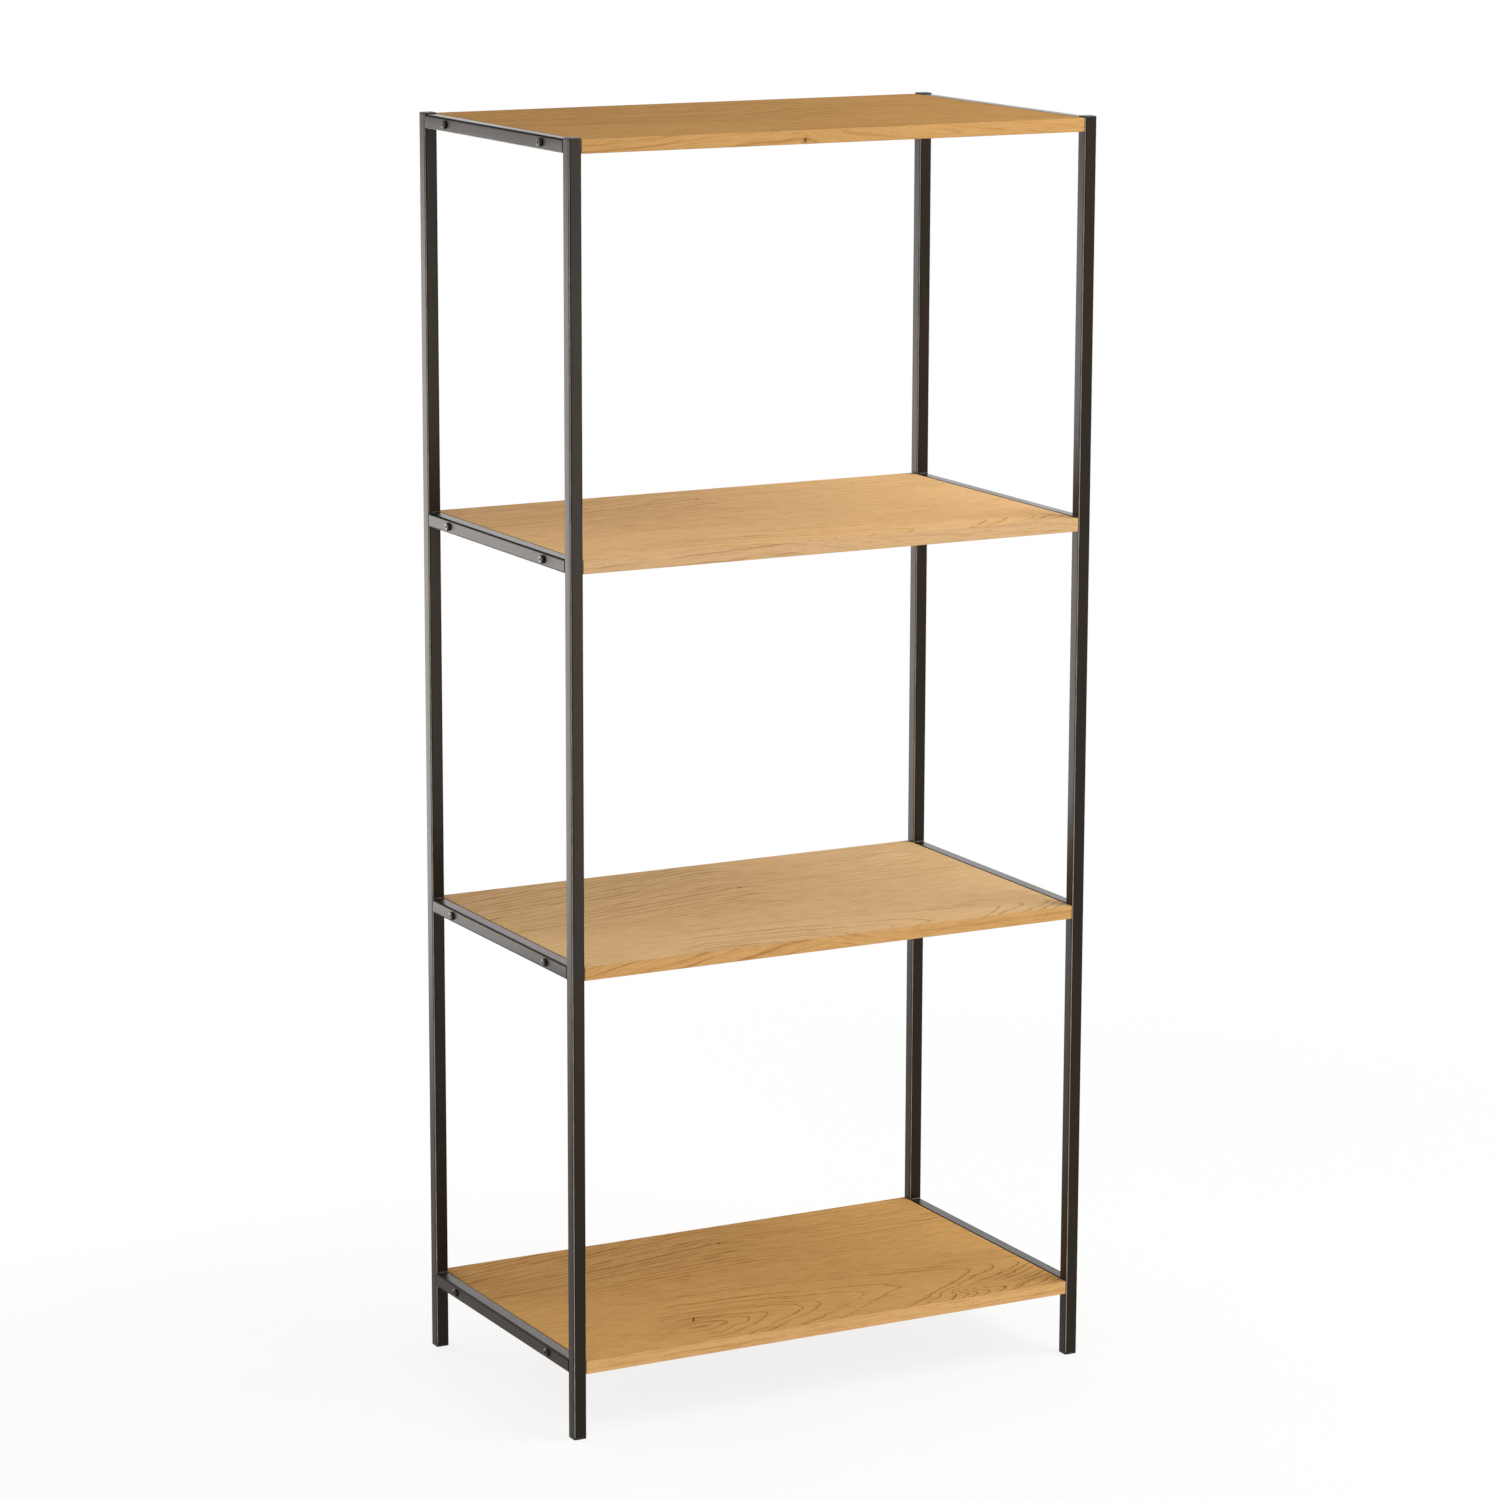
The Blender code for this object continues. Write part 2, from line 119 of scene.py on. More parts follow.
class Graph:
    """A node tree with short calls for the nodes that the materials use."""

    def __init__(self, tree):
        self.tree = tree

    def node(self, kind, **settings):
        made = self.tree.nodes.new(kind)
        for name, value in settings.items():
            setattr(made, name, value)
        return made

    def put(self, value, socket):
        """Link or write a value into a socket."""
        if isinstance(value, Value):
            self.tree.links.new(value.socket, socket)
        elif isinstance(value, bpy.types.NodeSocket):
            self.tree.links.new(value, socket)
        else:
            socket.default_value = value

    def math(self, operation, *values, clamp=False):
        made = self.node("ShaderNodeMath", operation=operation, use_clamp=clamp)
        for value, socket in zip(values, made.inputs):
            self.put(value, socket)
        return Value(self, made.outputs[0])

    def clamped(self, value):
        """The value, kept between 0 and 1."""
        return self.math("ADD", value, 0.0, clamp=True)

    def smooth(self, value, low, high):
        """0 up to low, 1 from high on, with a soft step between."""
        made = self.node("ShaderNodeMapRange", interpolation_type="SMOOTHSTEP")
        self.put(value, made.inputs["Value"])
        self.put(low, made.inputs["From Min"])
        self.put(high, made.inputs["From Max"])
        return Value(self, made.outputs["Result"])

    def above(self, value, limit):
        """1 where the value is over the limit, and 0 elsewhere."""
        return self.math("GREATER_THAN", value, limit)

    def choose(self, factor, first, second):
        """first where factor is 0, second where it is 1."""
        made = self.node("ShaderNodeMix", data_type="FLOAT")
        self.put(factor, made.inputs[0])
        self.put(first, made.inputs[2])
        self.put(second, made.inputs[3])
        return Value(self, made.outputs[0])

    def tint(self, factor, first, second):
        """The same for colours."""
        made = self.node("ShaderNodeMix", data_type="RGBA")
        self.put(factor, made.inputs[0])
        self.put(first, made.inputs[6])
        self.put(second, made.inputs[7])
        return made.outputs[2]

    def join(self, x, y, z=0.0):
        made = self.node("ShaderNodeCombineXYZ")
        for value, socket in zip((x, y, z), made.inputs):
            self.put(value, socket)
        return made.outputs[0]

    def split(self, vector):
        made = self.node("ShaderNodeSeparateXYZ")
        self.tree.links.new(vector, made.inputs[0])
        return [Value(self, socket) for socket in made.outputs]

    def coordinates(self, kind):
        return self.node("ShaderNodeTexCoord").outputs[kind]

    def noise(self, vector, scale=1.0, detail=2.0, roughness=0.5):
        made = self.node("ShaderNodeTexNoise", noise_dimensions="3D")
        self.tree.links.new(vector, made.inputs["Vector"])
        made.inputs["Scale"].default_value = scale
        made.inputs["Detail"].default_value = detail
        made.inputs["Roughness"].default_value = roughness
        return Value(self, made.outputs["Fac"])

    def spots(self, u, v, length, width, seed, detail=1, roughness=0.5):
        """Noise whose spots are about this long along u and this wide along v."""
        return self.noise(self.join(u / length, v / width, seed), detail=detail, roughness=roughness)

    def curve(self, value, points):
        """Straight lines through points whose places and heights both run from 0 to 1."""
        made = self.node("ShaderNodeFloatCurve")
        line = made.mapping.curves[0]
        line.points[0].location, line.points[1].location = points[0], points[-1]
        for place, height in points[1:-1]:
            line.points.new(place, height)
        for point in line.points:
            point.handle_type = "VECTOR"
        made.mapping.update()
        self.put(value, made.inputs["Value"])
        return Value(self, made.outputs[0])

    def bump(self, height, strength, distance):
        made = self.node("ShaderNodeBump")
        made.inputs["Strength"].default_value = strength
        made.inputs["Distance"].default_value = distance
        self.put(height, made.inputs["Height"])
        return made.outputs[0]


def srgb(red, green, blue):
    """A display colour, 0 to 255, as the linear colour that a shader takes."""
    def linear(level):
        level /= 255
        return level / 12.92 if level <= 0.04045 else ((level + 0.055) / 1.055) ** 2.4
    return (linear(red), linear(green), linear(blue), 1.0)


def new_material(name):
    """An empty material: its graph and the shader that it ends in."""
    material = bpy.data.materials.new(name)
    material.use_nodes = True
    material.node_tree.nodes.clear()
    graph = Graph(material.node_tree)
    shader = graph.node("ShaderNodeBsdfPrincipled")
    output = graph.node("ShaderNodeOutputMaterial")
    graph.tree.links.new(shader.outputs[0], output.inputs["Surface"])
    return material, graph, shader


def finish_material(graph, shader, colour, roughness, normal):
    """Put a material's own colour, roughness and bump into its shader."""
    graph.put(colour, shader.inputs["Base Color"])
    graph.put(roughness, shader.inputs["Roughness"])
    graph.put(normal, shader.inputs["Normal"])


# Oak decor. Lengths on it are in millimetres: u along the grain, v across it, larger to the back.
# Two strips meet at the joint: straight grain with a small knot at the back, and nested arches
# with a large knot in front. Around the calm middle, beside the joint, the lines are faint.
STRIP_JOINT = 0.0
CALM_MIDDLE = -8.0
SMALL_KNOT = (19.8, 123.0)
LARGE_KNOT = (-135.0, -112.0)
# The straight grain climbs to the right by this slope, turns just before the small knot, and
# drops. The turn's rounding is in square millimetres.
BACK_RISE = 0.2
BACK_TURN = SMALL_KNOT[0] - 8
BACK_TURN_ROUNDING = 160
BACK_DROP = 14.0
BACK_DROP_LENGTH = 75.0
STRAIGHT_SPACING = 11.5
STRAIGHT_UNEVENNESS = 1.7
# The arches point to the right: how far along their axis from the large knot each tip lies. The
# axis lies at this height where u is 0, and climbs to the right.
ARCH_TIPS = (0, 14, 38, 62, 107, 133, 188, 236, 342, 368, 405, 426, 447, *range(474, 739, 24))
ARCH_REACH = ARCH_TIPS[-1]
AXIS_SLOPE = 0.11
AXIS_HEIGHT = -121.0
# How far an arch runs back to the left for each step away from its axis, in front of it and behind.
PITCH_FRONT = 2.3
PITCH_BACK = 3.7
TIP_ROUNDING = 17.0
HEART_ROUNDING = 25
# A small eye of closed rings among the arches.
ISLAND = (206.0, -158.0)
ISLAND_LENGTH = 56
ISLAND_WIDTH = 12
ISLAND_RISE = 66
# Knots and the brown wood around them: place, half length, half width, tilt in degrees.
KNOT_SPECK = (SMALL_KNOT, 3.0, 1.3, 68)
KNOT_HALO = (SMALL_KNOT, 8, 4, 60)
CRACK_SPECK = (LARGE_KNOT, 9.5, 1.7, 60)
CRACK_HALO = ((LARGE_KNOT[0] - 22, LARGE_KNOT[1] - 14), 62, 34, 12)


def straight_rings(graph, u, v, wander, ripple):
    """The back strip: the place across the grain, each ring's number, and the distance from its line."""
    beside = u - BACK_TURN
    climb = (beside - (beside * beside + BACK_TURN_ROUNDING) ** 0.5) * (BACK_RISE / 2)
    drop = graph.smooth(beside, 0.0, BACK_DROP_LENGTH) * BACK_DROP
    # The climb and the drop grow weaker towards the joint.
    share = graph.smooth(v, 5.0, 120.0) * 0.85 + 0.15
    place = v - (climb - drop) * share + wander * 0.35 + ripple * 2.6
    uneven = (graph.noise(graph.join(0.0, place / 19)) - 0.5) * STRAIGHT_UNEVENNESS
    ring = place / STRAIGHT_SPACING + uneven
    index = graph.math("FLOOR", ring + 0.5)
    return place, index, (ring - index) * STRAIGHT_SPACING


def arch_rings(graph, u, v, ripple, sway):
    """The front strip: each ring's number, the distance from its line, and the line's strength."""
    from_heart = u - LARGE_KNOT[0]
    # To the left of the large knot the rings lie twice as far apart.
    closeness = graph.choose(graph.above(from_heart, 0.0), 0.5, 1.0)
    run = ((from_heart * from_heart + HEART_ROUNDING ** 2) ** 0.5 - HEART_ROUNDING) * closeness
    off_axis = v - u * AXIS_SLOPE - AXIS_HEIGHT + sway
    behind_axis = graph.above(off_axis, 0.0)
    pitch = graph.choose(behind_axis, PITCH_FRONT, PITCH_BACK)
    bend = (off_axis * off_axis + TIP_ROUNDING ** 2) ** 0.5
    island_u = (u - ISLAND[0]) / ISLAND_LENGTH
    island_v = (v - ISLAND[1]) / ISLAND_WIDTH
    island = ISLAND_RISE / (island_u * island_u + island_v * island_v + 1) ** 2.0
    tip = run + pitch * (bend - TIP_ROUNDING) + ripple * 13 + island

    # Two curves turn a tip's place into its number, and its number into its place.
    last = len(ARCH_TIPS) - 1
    by_place = [(place / ARCH_REACH, k / last) for k, place in enumerate(ARCH_TIPS)]
    by_index = [(k / last, place / ARCH_REACH) for k, place in enumerate(ARCH_TIPS)]
    index = graph.math("FLOOR", graph.curve(tip / ARCH_REACH, by_place) * last + 0.5)
    # The distance along the axis, made the distance across the line by the line's lean.
    lean = off_axis / bend * pitch
    gap = (tip - graph.curve(index / last, by_index) * ARCH_REACH) / (lean * lean + 0.8) ** 0.5

    # The lines fade to the left of the large knot, and behind the axis to the right as well.
    strength = graph.smooth(from_heart, -70.0, 30.0) * 0.95
    behind_strength = 1.2 - graph.smooth(u, 110.0, 220.0) * 0.45
    return index, gap, strength * graph.choose(behind_axis, 1.4, behind_strength)


def speck(graph, u, v, centre, length, width, tilt):
    """A soft-edged ellipse, 1 at its middle."""
    du = u - centre[0]
    dv = v - centre[1]
    cos = math.cos(math.radians(tilt))
    sin = math.sin(math.radians(tilt))
    lengthwise = (du * cos + dv * sin) / length
    widthwise = (dv * cos - du * sin) / width
    return 1 - graph.smooth(lengthwise * lengthwise + widthwise * widthwise, 0.25, 1.1)


def make_decor_group():
    """The oak pattern as one group: where its lines, pores, streaks, clouds and knots are."""
    tree = bpy.data.node_groups.new("oak_decor", "ShaderNodeTree")
    graph = Graph(tree)
    for name in ("U", "V", "Widen"):
        tree.interface.new_socket(name, in_out="INPUT", socket_type="NodeSocketFloat")
    entry = graph.node("NodeGroupInput")
    u, v, widen = (Value(graph, entry.outputs[name]) for name in ("U", "V", "Widen"))
    front_v = v + widen
    in_front = graph.above(STRIP_JOINT, front_v)

    def by_strip(back, front):
        return graph.choose(in_front, back, front)

    # Slow noises around 0, which bend the lines.
    wander = (graph.spots(u, v, 240, 80, 0.0) - 0.5) * 22
    ripple = (graph.spots(u, v, 48, 14, 7.0, detail=2) - 0.5) * 2
    sway = (graph.spots(u, v, 90, 160, 21.0) - 0.5) * 22
    straight, straight_index, straight_gap = straight_rings(graph, u, v, wander, ripple)
    arch_index, arch_gap, arch_strength = arch_rings(graph, u, front_v, ripple, sway)
    index = by_strip(straight_index, arch_index)
    gap = by_strip(straight_gap, arch_gap)
    fibre_v = by_strip(straight, v - u * 0.03 + wander * 0.3)

    # One thin dark line to each ring, with a soft shadow on its inner side, which comes and goes.
    thin = 1 - graph.smooth(abs(gap), 0.25, by_strip(2.2, 1.2))
    soft = 1 - graph.smooth(abs(gap + 2.2), 0.4, 4.4)
    stretch = by_strip(75.0, 120.0)
    presence = graph.noise(graph.join(u / stretch, index * 3.7, 3.0), detail=2)
    shadow = graph.noise(graph.join(u / 170, index * 5.3, 8.0), detail=1)
    missing = by_strip(0.30, 0.24)
    line = thin * graph.smooth(presence, missing, missing + 0.3) * 0.85
    line = line + soft * graph.smooth(shadow, 0.4, 0.7) * by_strip(0.14, 0.3)

    # The lines are fainter in patches, beside the joint, and to the right in the back strip.
    patch = graph.spots(u, v, 160, 45, 11.0)
    line = line * (graph.smooth(patch, 0.32, 0.56) * 0.4 + 0.5)
    from_calm = graph.math("MINIMUM", abs(v - CALM_MIDDLE), abs(front_v - CALM_MIDDLE))
    from_joint = graph.smooth(from_calm, 12.0, 62.0)
    straight_strength = 0.9 - graph.smooth(u, 0.0, 70.0) * 0.4
    line = line * (from_joint * 0.75 + 0.25) * by_strip(straight_strength, arch_strength)

    dashes = graph.spots(u, fibre_v, 3.6, 0.34, 9.0)
    fleck = graph.spots(u, fibre_v, 30, 2.2, 4.0, detail=3, roughness=0.6)
    cloud = graph.spots(u, v, 210, 30, 2.0, detail=3, roughness=0.55)
    knot = speck(graph, u, v, *KNOT_SPECK) * 0.9 + speck(graph, u, v, *KNOT_HALO) * 0.16
    outputs = {
        "Line": line,
        "Pore": graph.smooth(dashes + line * 0.1, 0.60, 0.72),
        "Streak": graph.spots(u, fibre_v, 24, 1.4, 5.0, detail=5, roughness=0.68),
        "Cloud": cloud + speck(graph, u, v, *CRACK_HALO) * 0.27,
        "Stroke": graph.smooth(fleck, 0.44, 0.64),
        "Knot": graph.clamped(knot),
        "Crack": speck(graph, u, v, *CRACK_SPECK),
        "Strip": in_front,
        "Joint": 1 - graph.smooth(abs(front_v - STRIP_JOINT), 0.15, 0.9),
    }
    for name in outputs:
        tree.interface.new_socket(name, in_out="OUTPUT", socket_type="NodeSocketFloat")
    leave = graph.node("NodeGroupOutput")
    for name, value in outputs.items():
        graph.put(value, leave.inputs[name])
    return tree


# Each board is cut from the decor at its own place: the cut's shift along and across the grain,
# its turn in degrees, and how much wider the back strip is, so that the joint lies further
# forward. The edge band is cut elsewhere, with a slope. Tones are the light and the dark one.
BOARD_CUTS = {
    "bottom": {
        "shift": (0.0, 0.0), "turn": 0.0, "widen": 0.0,
        "tones": ((199, 155, 94), (150, 105, 51)),
        "band_shift": (400.0, 96.0), "band_slope": 0.0,
        "band_tones": ((235, 186, 124), (205, 154, 92)),
    },
    "lower": {
        "shift": (4.0, 60.0), "turn": 1.6, "widen": 0.0,
        "tones": ((212, 178, 131), (170, 133, 84)),
        "band_shift": (24.0, 112.0), "band_slope": 0.0,
        "band_tones": ((225, 175, 112), (191, 139, 79)),
    },
    "upper": {
        "shift": (27.0, 0.0), "turn": 1.2, "widen": 60.0,
        "tones": ((227, 185, 130), (180, 137, 82)),
        "band_shift": (70.0, 60.0), "band_slope": 0.05,
        "band_tones": ((228, 187, 138), (201, 156, 108)),
    },
    "top": {
        "shift": (-90.0, 78.0), "turn": -0.5, "widen": 0.0,
        "tones": ((174, 130, 69), (117, 78, 30)),
        "band_shift": (61.0, 124.2), "band_slope": 0.1,
        "band_tones": ((215, 166, 104), (189, 140, 81)),
    },
}
CRACKED_TIER = "bottom"
UNDERSIDE_SHIFT = (400, 90)
PORE_BROWN = (124, 86, 48)
KNOT_BROWN = (92, 58, 32)
SEAM_BROWN = (132, 92, 50)
# A face looks along an axis where its normal's part on that axis is above this.
FACING = 0.75


def oak_material(tier, decor):
    """Oak decor over the board's faces, with its edge bands and the fine seams beside them."""
    cut = BOARD_CUTS[tier]
    material, graph, shader = new_material(f"oak_{tier}")
    low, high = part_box(f"board_{tier}")
    x, y, z = (axis * MM_PER_METRE for axis in graph.split(graph.coordinates("Object")))
    nx, ny, nz = graph.split(graph.coordinates("Normal"))
    up_or_down = abs(nz)
    is_flat = graph.above(up_or_down, FACING)
    is_end = graph.above(abs(nx), FACING)
    below = graph.above(0.0, nz) * is_flat

    turn = math.radians(cut["turn"])
    along = x * math.cos(turn) + y * math.sin(turn) + cut["shift"][0] + below * UNDERSIDE_SHIFT[0]
    across = y * math.cos(turn) - x * math.sin(turn) + cut["shift"][1] + below * UNDERSIDE_SHIFT[1]
    rise = z - (low.z + high.z) / 2 * MM_PER_METRE
    edge_along = graph.choose(is_end, x, y) + cut["band_shift"][0]
    edge_across = rise + edge_along * cut["band_slope"] + cut["band_shift"][1]

    group = graph.node("ShaderNodeGroup", node_tree=decor)
    graph.put(graph.choose(is_flat, edge_along, along), group.inputs["U"])
    graph.put(graph.choose(is_flat, edge_across, across), group.inputs["V"])
    graph.put(is_flat * cut["widen"], group.inputs["Widen"])
    part = {socket.name: Value(graph, socket) for socket in group.outputs}

    shade = part["Line"] * 1.25 + (part["Streak"] - 0.5) * 1.7 + (part["Cloud"] - 0.5) * 0.5
    shade = shade + 0.05 + part["Stroke"] * 0.36 - part["Strip"] * 0.05 - part["Joint"] * 0.16
    light, dark = (graph.tint(is_flat, srgb(*band), srgb(*top))
                   for band, top in zip(cut["band_tones"], cut["tones"]))
    colour = graph.tint(graph.clamped(shade), light, dark)
    colour = graph.tint(part["Pore"] * 0.4, colour, srgb(*PORE_BROWN))
    colour = graph.tint(part["Knot"], colour, srgb(*KNOT_BROWN))
    if tier == CRACKED_TIER:
        colour = graph.tint(part["Crack"] * 0.9, colour, srgb(*KNOT_BROWN))
    seam = graph.smooth(up_or_down, 0.12, 0.4) * (1 - graph.smooth(up_or_down, 0.86, 0.98))
    colour = graph.tint(seam * 0.35, colour, srgb(*SEAM_BROWN))

    roughness = part["Pore"] * 0.1 + part["Streak"] * 0.1 + 0.73
    height = part["Streak"] * 0.4 - part["Pore"] * 0.6 - part["Line"] * 0.3
    finish_material(graph, shader, colour, roughness, graph.bump(height, 0.3, 0.1 * MM))
    shader.inputs["Specular IOR Level"].default_value = 0.035
    return material


def edge_turning(nx, ny, nz):
    """0 on faces that look along an axis, rising to 0.5 halfway round an edge between two."""
    return abs(nx * ny) + abs(nx * nz) + abs(ny * nz)


def coat_material():
    """Dark brown powder coat: fine orange peel, faint clouds, and along the edges a painted highlight
    line, patchy like wear, with painted shade beside it.
    """
    material, graph, shader = new_material("powder_coat")
    place = graph.coordinates("Object")
    nx, ny, nz = graph.split(graph.coordinates("Normal"))
    cloud = graph.noise(place, scale=9.0, detail=3)
    peel = graph.noise(place, scale=750.0, detail=2, roughness=0.55)
    grit = graph.noise(place, scale=2600.0, detail=1)
    wear_and_highlight = graph.smooth(graph.noise(place, scale=38.0, detail=4, roughness=0.7), 0.38, 0.64)

    # The middle of each rounding, apart from the rails' upper ones, is painted lighter as a highlight,
    # brighter in patches of wear, and painted shade lies beside it. The posts' front left and back right
    # roundings get the strongest painted highlight.
    turning = edge_turning(nx, ny, nz)
    upper_side = graph.smooth(abs(nx) * nz, 0.05, 0.2)
    corner = graph.smooth(turning, 0.38, 0.49) * (1 - upper_side)
    shade_beside_edge = graph.smooth(turning, 0.03, 0.16) * (1 - corner)
    highlight_most = graph.smooth(nx * ny, 0.3, 0.45)
    colour = graph.tint(cloud, srgb(32, 23, 13), srgb(42, 32, 21))
    colour = graph.tint(graph.smooth(grit, 0.6, 0.75) * 0.35, colour, srgb(70, 61, 54))
    # Painted shade: a dark band beside each rounding's middle.
    colour = graph.tint(shade_beside_edge * 0.85, colour, srgb(8, 6, 4))
    # Painted highlight along each rounding's middle, in patches that also stand for wear.
    colour = graph.tint(corner * (wear_and_highlight * 0.35 + highlight_most * 0.35 + 0.25), colour, srgb(190, 181, 170))

    roughness = (peel - 0.5) * 0.16 + (cloud - 0.5) * 0.08 + 0.38 - corner * wear_and_highlight * 0.05
    height = peel * 0.8 + grit * 0.25
    finish_material(graph, shader, colour, roughness, graph.bump(height, 0.3, 0.05 * MM))
    facing_up = graph.smooth(nz, 0.6, 0.95)
    gloss = facing_up * 0.055 * (1 - shade_beside_edge) - shade_beside_edge * 0.125 + 0.15
    graph.put(gloss, shader.inputs["Specular IOR Level"])
    return material


def plastic_material():
    """Moulded black plastic with a fine spark-eroded grain and lighter scuffed edges."""
    material, graph, shader = new_material("moulded_plastic")
    place = graph.coordinates("Object")
    grain = graph.noise(place, scale=1500.0, detail=2, roughness=0.6)
    smear = graph.noise(place, scale=60.0, detail=3)
    corner = graph.smooth(edge_turning(*graph.split(graph.coordinates("Normal"))), 0.25, 0.5)
    colour = graph.tint(smear, srgb(22, 21, 20), srgb(33, 31, 29))
    colour = graph.tint(corner * smear * 0.5, colour, srgb(62, 60, 57))
    roughness = (grain - 0.5) * 0.2 + (smear - 0.5) * 0.15 + 0.56
    finish_material(graph, shader, colour, roughness, graph.bump(grain, 0.35, 0.06 * MM))
    shader.inputs["Specular IOR Level"].default_value = 0.4
    return material


def screw_material():
    """Blackened steel: an oily satin black, mottled, with specks where the oxide is thin."""
    material, graph, shader = new_material("blackened_steel")
    place = graph.coordinates("Object")
    oxide = graph.noise(place, scale=420.0, detail=3, roughness=0.6)
    mottle = graph.noise(place, scale=90.0, detail=2)
    fine = graph.noise(place, scale=3000.0, detail=2)
    colour = graph.tint(mottle, srgb(34, 29, 24), srgb(48, 42, 36))
    colour = graph.tint(graph.smooth(oxide, 0.58, 0.76) * 0.35, colour, srgb(76, 70, 64))
    roughness = (oxide - 0.5) * 0.2 + 0.34
    height = oxide * 0.6 + fine * 0.3
    finish_material(graph, shader, colour, roughness, graph.bump(height, 0.2, 0.02 * MM))
    shader.inputs["Metallic"].default_value = 0.1
    shader.inputs["Specular IOR Level"].default_value = 0.36
    return material


def zinc_material():
    """Bright zinc plate with a faint yellow passivation and machining lines."""
    material, graph, shader = new_material("plated_zinc")
    place = graph.coordinates("Object")
    x, y, z = graph.split(place)
    bloom = graph.noise(place, scale=260.0, detail=3)
    lines = graph.noise(graph.join(x * 9000, y * 400, z * 400), detail=1)
    colour = graph.tint(bloom, srgb(198, 190, 168), srgb(168, 166, 160))
    roughness = (bloom - 0.5) * 0.2 + lines * 0.12 + 0.28
    finish_material(graph, shader, colour, roughness, graph.bump(lines, 0.2, 0.03 * MM))
    shader.inputs["Metallic"].default_value = 1.0
    return material


def give_material(piece, material):
    """Put one material in every slot of a piece."""
    if not piece.material_slots:
        piece.data.materials.append(material)
    for slot in piece.material_slots:
        slot.link = "OBJECT"
        slot.material = material


# Shading: CAD nodes come in as loose flat triangles, and modifiers shade their roundings smoothly.
SHARP_ANGLE = math.radians(32)
WELD_DISTANCE = 0.002 * MM
EVEN_NORMALS_WEIGHT = 100


def make_shading_group():
    """Geometry nodes that weld a mesh and shade it smooth apart from its sharp edges."""
    tree = bpy.data.node_groups.new("soft_shading", "GeometryNodeTree")
    for way in ("INPUT", "OUTPUT"):
        tree.interface.new_socket("Geometry", in_out=way, socket_type="NodeSocketGeometry")
    graph = Graph(tree)
    entry = graph.node("NodeGroupInput")
    plain = graph.node("GeometryNodeRemoveAttribute")
    plain.inputs["Name"].default_value = "custom_normal"
    weld = graph.node("GeometryNodeMergeByDistance")
    weld.inputs["Distance"].default_value = WELD_DISTANCE
    faces = graph.node("GeometryNodeSetShadeSmooth", domain="FACE")
    edges = graph.node("GeometryNodeSetShadeSmooth", domain="EDGE")
    angle = graph.node("GeometryNodeInputMeshEdgeAngle")
    small = graph.node("FunctionNodeCompare", data_type="FLOAT", operation="LESS_THAN")
    small.inputs["B"].default_value = SHARP_ANGLE
    leave = graph.node("NodeGroupOutput")
    graph.put(angle.outputs["Unsigned Angle"], small.inputs["A"])
    graph.put(small.outputs[0], edges.inputs["Shade Smooth"])
    chain = (entry, plain, weld, faces, edges, leave)
    for first, second in zip(chain, chain[1:]):
        graph.put(first.outputs[0], second.inputs[0])
    return tree


def shade_softly(piece, group):
    """Put the shading modifiers on a CAD node."""
    soften = piece.modifiers.new("soften", "NODES")
    soften.node_group = group
    even = piece.modifiers.new("even_normals", "WEIGHTED_NORMAL")
    even.keep_sharp = True
    even.weight = EVEN_NORMALS_WEIGHT


def finish_mesh(bm, name):
    """Turn closed forms into a mesh that is shaded smooth apart from its sharp edges."""
    bmesh.ops.recalc_face_normals(bm, faces=bm.faces)
    for face in bm.faces:
        face.smooth = True
    for edge in bm.edges:
        if edge.calc_face_angle(0) > SHARP_ANGLE:
            edge.smooth = False
    mesh = bpy.data.meshes.new(name)
    bm.to_mesh(mesh)
    bm.free()
    return mesh


def new_piece(name, mesh, material):
    """A new piece of the scene that rides on the frame's one body."""
    piece = bpy.data.objects.new(name, mesh)
    bpy.context.scene.collection.objects.link(piece)
    give_material(piece, material)
    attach(piece, "root")
    return piece


# Screws: button heads with a hexagon socket, rounder than the CAD heads that they replace.
SCREW_STEPS = 48
HEAD_RADIUS = 4.75 * MM
HEAD_HEIGHT = 2.75 * MM
HEAD_EDGE_HEIGHT = 0.1 * MM
HEAD_EDGE_WIDTH = 0.12 * MM
RIM_HEIGHT = 0.6 * MM
DOME_STEPS = 8
SOCKET_FLATS = 3.0 * MM
SOCKET_DEPTH = 1.8 * MM
SOCKET_LAND = 1.5 * MM
SOCKET_FLARE = 0.24 * MM
SOCKET_FLARE_DEPTH = 0.14 * MM
DRILL_SHARE = 0.42
DRILL_STEP = 0.02 * MM
DRILL_DEPTH = 0.5 * MM
SHANK_RADIUS = 2.45 * MM
SHANK_NECK = 0.3 * MM
TIP_CHAMFER = 0.6 * MM
THREAD_SHARE = 0.62
THREAD_PITCH = 0.8 * MM
THREAD_DEPTH = 0.32 * MM
# Where in each pitch the thread's root and crest lie.
THREAD_ROOT = 0.45
THREAD_CREST = 0.95


def hexagon_radius(angle, flats):
    """Distance from the middle to the side of a hexagon at an angle."""
    step = math.pi / 3
    return flats / 2 / math.cos((angle + step / 2) % step - step / 2)


